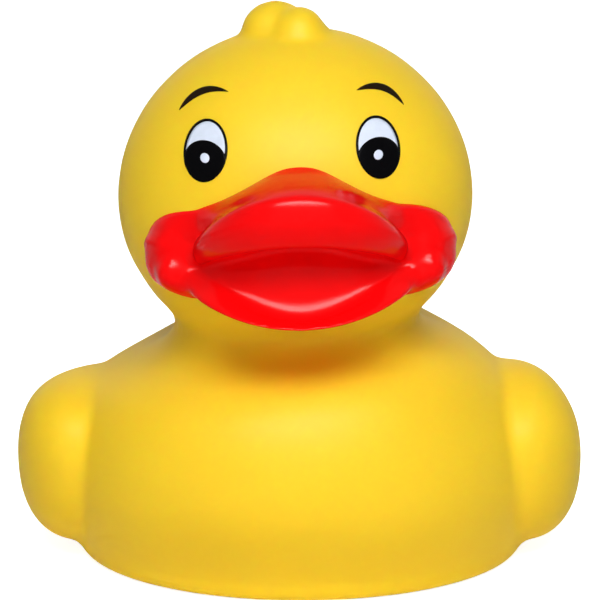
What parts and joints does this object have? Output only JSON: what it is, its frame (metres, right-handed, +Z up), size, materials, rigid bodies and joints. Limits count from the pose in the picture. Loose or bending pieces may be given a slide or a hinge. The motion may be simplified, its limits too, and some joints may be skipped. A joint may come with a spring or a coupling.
{
  "type": "rubber duck",
  "caption": "Hollow one-piece bath duck with a flat base, side wings, an upturned tail, an open bill with rolled lips, cheek bulbs and a small curl on the crown.",
  "frame": {"origin": "on the floor, under the middle of the moulding's box", "axes": "+Z up, +Y towards the tail, the bill faces -Y, +X to the right in the picture"},
  "size_m": [0.0804, 0.0879, 0.0799],
  "materials": {
    "vinyl": "satin soft vinyl, bill painted red"
  },
  "bodies": {
    "root": {"duck": "vinyl"}
  },
  "joints": []
}
